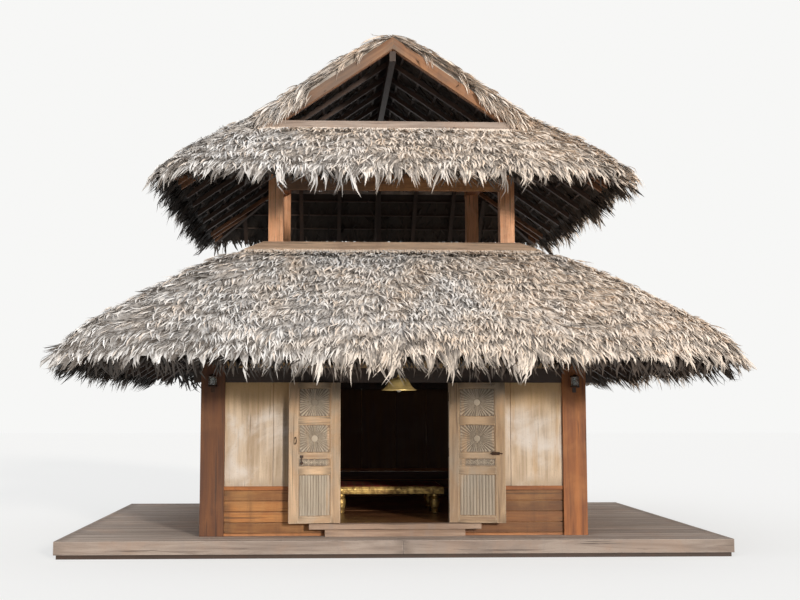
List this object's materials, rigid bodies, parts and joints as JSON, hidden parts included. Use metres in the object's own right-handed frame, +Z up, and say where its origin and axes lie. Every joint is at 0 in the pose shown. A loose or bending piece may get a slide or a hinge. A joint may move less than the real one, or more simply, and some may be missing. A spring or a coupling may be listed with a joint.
{
  "type": "two-tiered thatched timber house",
  "caption": "Open-loft timber house on a low deck, with a hipped thatch roof, an upper gable-and-hip thatch roof and a pair of carved doors that open outwards",
  "frame": {"origin": "on the ground, under the middle of the house", "axes": "+Z up, the doorway faces -Y, +X to the right as seen from the front"},
  "size_m": [8.13, 7.86, 6.66],
  "materials": {
    "deck": "weathered deck boards, pinkish grey-brown",
    "hardwood": "oiled reddish-brown hardwood",
    "pale_wood": "sun-bleached wide planks",
    "rafter_wood": "planed reddish-brown rafters",
    "thatch": "weathered grey-tan palm-leaf thatch",
    "door_wood": "bleached carved door wood",
    "iron": "dark forged iron",
    "brass": "aged brass",
    "bulb": "frosted white glass",
    "gilt": "worn gilding on carved wood",
    "cloth": "dark red woven mat",
    "lantern": "clear glass jar"
  },
  "bodies": {
    "house": {"ground_sleepers": "deck", "deck_joists": "deck", "deck_boards": "deck", "deck_fascia": "deck", "floor_joists": "hardwood", "room_floor": "hardwood", "threshold": "pale_wood", "door_step": "deck", "corner_posts": "hardwood", "wall_sills": "hardwood", "lower_boards": "hardwood", "wall_rails": "hardwood", "front_panels": "pale_wood", "over_door_panel": "pale_wood", "wall_panels": "pale_wood", "tie_beams": "hardwood", "door_jambs": "pale_wood", "side_plates": "hardwood", "end_plates": "hardwood", "main_posts": "hardwood", "loft_strut": "hardwood", "loft_rim": "hardwood", "loft_sill": "deck", "lower_rafters": "rafter_wood", "lower_hips": "rafter_wood", "lower_thatch_front": "thatch", "lower_thatch_rear": "thatch", "lower_thatch_left": "thatch", "lower_thatch_right": "thatch", "upper_side_plates": "hardwood", "upper_end_plates": "hardwood", "ridge_beam": "rafter_wood", "upper_rafters": "rafter_wood", "skirt_rafters": "rafter_wood", "upper_hips": "rafter_wood", "upper_thatch_front": "thatch", "upper_thatch_rear": "thatch", "upper_thatch_left": "thatch", "upper_thatch_right": "thatch", "ridge_cap": "thatch", "gable_planks": "deck", "hinge_pins": "iron", "bell_lamp": "brass", "lamp_bulb": "bulb", "lantern_frames": "iron", "lantern_glass": "lantern", "daybed": "gilt", "daybed_mattress": "cloth"},
    "left_door": {"door_left": "door_wood", "door_left_fittings": "iron", "door_left_hinges": "iron"},
    "right_door": {"door_right": "door_wood", "door_right_fittings": "iron", "door_right_hinges": "iron"}
  },
  "joints": [
    {"name": "left_door_swing", "type": "hinge", "parent": "house", "child": "left_door", "pos_m": [-0.678, -2.39, 1.2], "axis": [0, 0, 1], "range_deg": [-5, 170]},
    {"name": "right_door_swing", "type": "hinge", "parent": "house", "child": "right_door", "pos_m": [0.678, -2.39, 1.2], "axis": [0, 0, 1], "range_deg": [-170, 5]}
  ]
}
